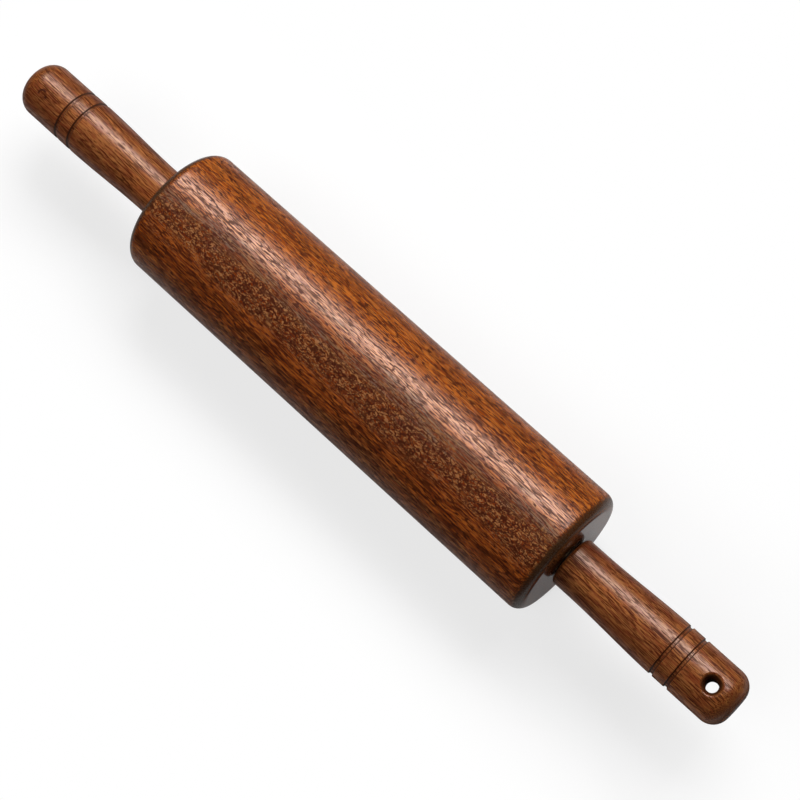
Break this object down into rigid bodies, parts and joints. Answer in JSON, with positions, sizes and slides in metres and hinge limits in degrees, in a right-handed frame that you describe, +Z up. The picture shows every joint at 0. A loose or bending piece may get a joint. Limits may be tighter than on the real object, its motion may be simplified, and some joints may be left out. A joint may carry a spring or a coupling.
{
  "type": "rolling pin",
  "caption": "Wooden rolling pin whose barrel spins freely on a bearing-mounted steel axle between turned, grooved handles, with a hang hole through an end.",
  "frame": {"origin": "on the resting surface, under the middle of the pin", "axes": "+X along the pin towards the handle with the hang hole, +Z up, and the hang hole runs along Z"},
  "size_m": [0.4446, 0.066, 0.0659],
  "materials": {
    "barrel_wood": "dark reddish-brown hardwood under semi-gloss lacquer",
    "handle_wood": "dark reddish-brown hardwood under semi-gloss lacquer",
    "axle_steel": "ground steel",
    "bearing_steel": "polished bearing steel",
    "insert_brass": "turned brass",
    "cage_nylon": "moulded natural nylon",
    "spacer_nylon": "turned black nylon"
  },
  "bodies": {
    "handle_frame": {"axle": "axle_steel", "left_handle": "handle_wood", "right_handle": "handle_wood", "left_insert": "insert_brass", "right_insert": "insert_brass", "left_spacer": "spacer_nylon", "right_spacer": "spacer_nylon", "left_inner_ring": "bearing_steel", "right_inner_ring": "bearing_steel"},
    "roller": {"barrel": "barrel_wood", "left_outer_ring": "bearing_steel", "right_outer_ring": "bearing_steel", "left_outer_shield": "axle_steel", "left_inner_shield": "axle_steel", "right_outer_shield": "axle_steel", "right_inner_shield": "axle_steel"},
    "left_ball_set": {"left_cage": "cage_nylon", "left_ball_1": "bearing_steel", "left_ball_2": "bearing_steel", "left_ball_3": "bearing_steel", "left_ball_4": "bearing_steel", "left_ball_5": "bearing_steel", "left_ball_6": "bearing_steel", "left_ball_7": "bearing_steel"},
    "right_ball_set": {"right_cage": "cage_nylon", "right_ball_1": "bearing_steel", "right_ball_2": "bearing_steel", "right_ball_3": "bearing_steel", "right_ball_4": "bearing_steel", "right_ball_5": "bearing_steel", "right_ball_6": "bearing_steel", "right_ball_7": "bearing_steel"}
  },
  "joints": [
    {"name": "roller_spin", "type": "hinge", "parent": "handle_frame", "child": "roller", "pos_m": [0, 0, 0.03296], "axis": [1, 0, 0], "continuous": true},
    {"name": "left_ball_orbit", "type": "hinge", "parent": "handle_frame", "child": "left_ball_set", "pos_m": [-0.1205, 0, 0.03296], "axis": [1, 0, 0], "continuous": true},
    {"name": "right_ball_orbit", "type": "hinge", "parent": "handle_frame", "child": "right_ball_set", "pos_m": [0.1205, 0, 0.03296], "axis": [1, 0, 0], "continuous": true}
  ],
  "couplings": [
    {"joint": "left_ball_orbit", "follows": "roller_spin", "ratio": 0.59167},
    {"joint": "right_ball_orbit", "follows": "roller_spin", "ratio": 0.59167}
  ]
}
